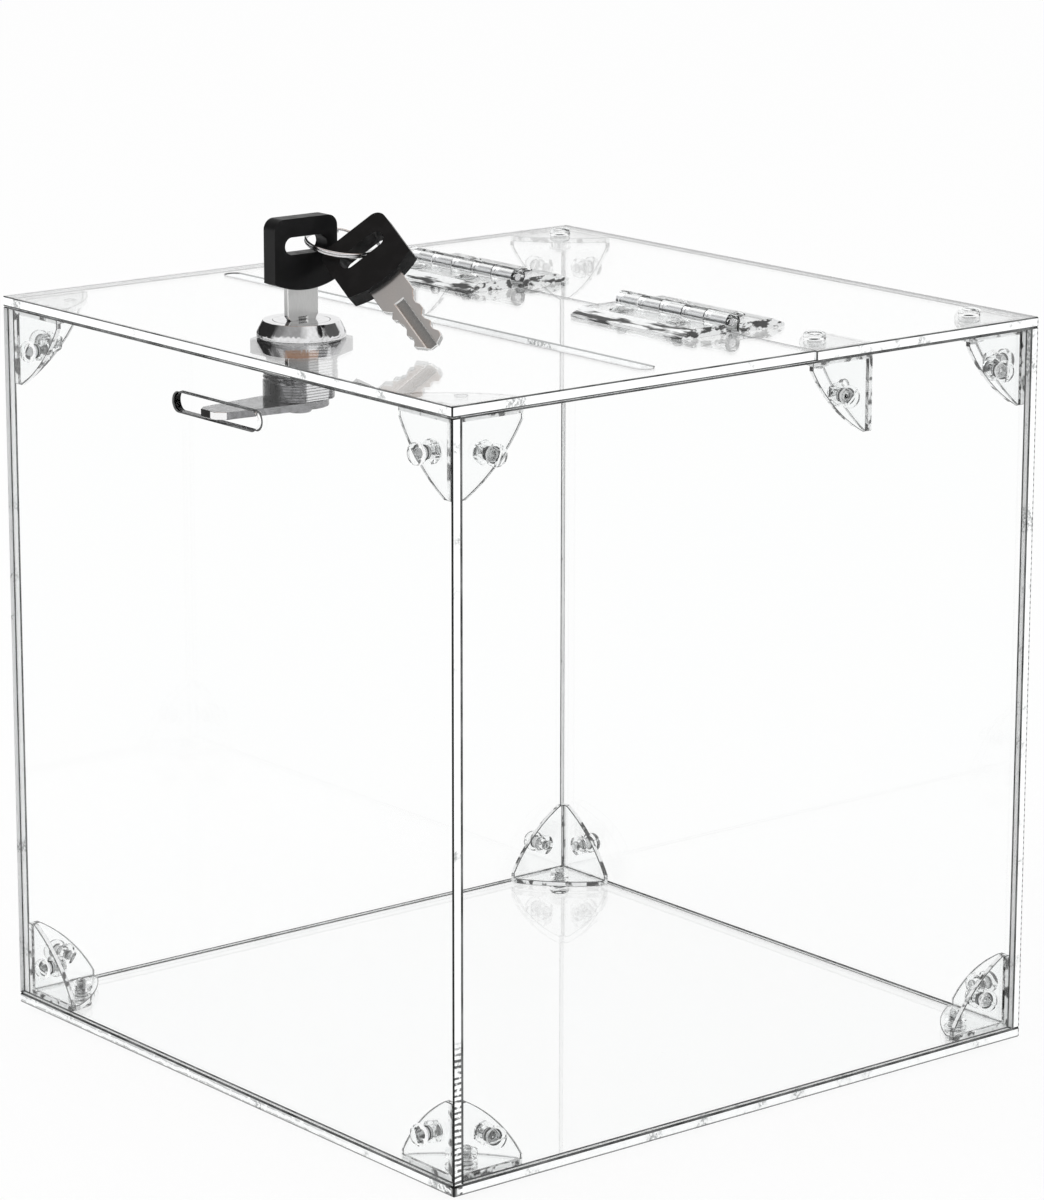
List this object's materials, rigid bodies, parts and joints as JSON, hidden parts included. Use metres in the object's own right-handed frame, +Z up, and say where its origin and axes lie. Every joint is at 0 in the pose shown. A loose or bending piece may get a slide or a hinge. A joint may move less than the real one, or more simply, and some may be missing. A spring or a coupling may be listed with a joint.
{
  "type": "ballot box",
  "caption": "Clear square ballot box with a slotted, hinged lid, corner brackets, clear bolts and a cam lock with a ring of keys.",
  "frame": {"origin": "under the middle of the box, at the level of the floor bolts' heads that it stands on", "axes": "+Z up, front with the lock at -Y, +X to the right seen from the front; rest pose is closed and locked, with one key in the lock and the other leaning on the lid"},
  "size_m": [0.204, 0.2046, 0.2385],
  "materials": {
    "acrylic": "polished clear acrylic sheet with saw-cut edges",
    "bracket_plastic": "moulded clear polycarbonate, gloss",
    "bolt_plastic": "moulded clear plastic, gloss",
    "hinge_plastic": "moulded clear acrylic, gloss",
    "pin_steel": "bright drawn wire",
    "lock_chrome": "polished chrome plate",
    "lock_plating": "bright zinc plate",
    "wafer_brass": "stamped brass",
    "key_plastic": "satin black moulded plastic",
    "key_plating": "matt nickel plate",
    "ring_steel": "bright nickel-plated wire"
  },
  "bodies": {
    "box": {"bottom_panel": "acrylic", "front_panel": "acrylic", "back_panel": "acrylic", "left_panel": "acrylic", "right_panel": "acrylic", "top_rear_strip": "acrylic", "bracket_bottom_front_left": "bracket_plastic", "bracket_bottom_front_right": "bracket_plastic", "bracket_bottom_back_left": "bracket_plastic", "bracket_bottom_back_right": "bracket_plastic", "bracket_top_front_left": "bracket_plastic", "bracket_top_front_right": "bracket_plastic", "bracket_top_back_left": "bracket_plastic", "bracket_top_back_right": "bracket_plastic", "bracket_seam_left": "bracket_plastic", "bracket_seam_right": "bracket_plastic", "bottom_bolts": "bolt_plastic", "bottom_nuts": "bolt_plastic", "front_bolts": "bolt_plastic", "front_nuts": "bolt_plastic", "back_bolts": "bolt_plastic", "back_nuts": "bolt_plastic", "left_bolts": "bolt_plastic", "left_nuts": "bolt_plastic", "right_bolts": "bolt_plastic", "right_nuts": "bolt_plastic", "strip_bolts": "bolt_plastic", "strip_nuts": "bolt_plastic", "hinge_leaf_strip_left": "hinge_plastic", "hinge_leaf_strip_right": "hinge_plastic", "hinge_pin_left": "pin_steel", "hinge_pin_right": "pin_steel", "hinge_bolts_strip": "bolt_plastic", "hinge_nuts_strip": "bolt_plastic"},
    "lid": {"lid": "acrylic", "hinge_leaf_lid_left": "hinge_plastic", "hinge_leaf_lid_right": "hinge_plastic", "hinge_bolts_lid": "bolt_plastic", "hinge_nuts_lid": "bolt_plastic", "lock_housing": "lock_chrome", "lock_nut": "lock_plating"},
    "lock_core": {"lock_plug": "lock_chrome", "lock_wafers": "wafer_brass", "lock_cam": "lock_plating", "cam_screw": "lock_plating"},
    "key_1": {"key_1_head": "key_plastic", "key_1_blade": "key_plating"},
    "ring": {"key_ring": "ring_steel"},
    "key_2": {"key_2_head": "key_plastic", "key_2_blade": "key_plating"}
  },
  "joints": [
    {"name": "lid_hinge", "type": "hinge", "parent": "box", "child": "lid", "pos_m": [0, 0.0192, 0.2085], "axis": [-1, 0, 0], "range_deg": [0, 120]},
    {"name": "lock_turn", "type": "hinge", "parent": "lid", "child": "lock_core", "pos_m": [0, -0.072, 0.2058], "axis": [0, 0, 1], "range_deg": [0, 90]},
    {"name": "key_1_slide", "type": "slide", "parent": "lock_core", "child": "key_1", "axis": [0, 0, 1], "range_m": [0, 0.03]},
    {"name": "ring_swing", "type": "hinge", "parent": "key_1", "child": "ring", "pos_m": [0, -0.0702, 0.2306], "axis": [0.8822, -0.4319, -0.1875], "range_deg": [0, 60]},
    {"name": "key_2_swing", "type": "hinge", "parent": "ring", "child": "key_2", "pos_m": [0.0138, -0.0619, 0.2277], "axis": [-0.0522, -0.9986, 0.0063], "range_deg": [0, 40]}
  ]
}
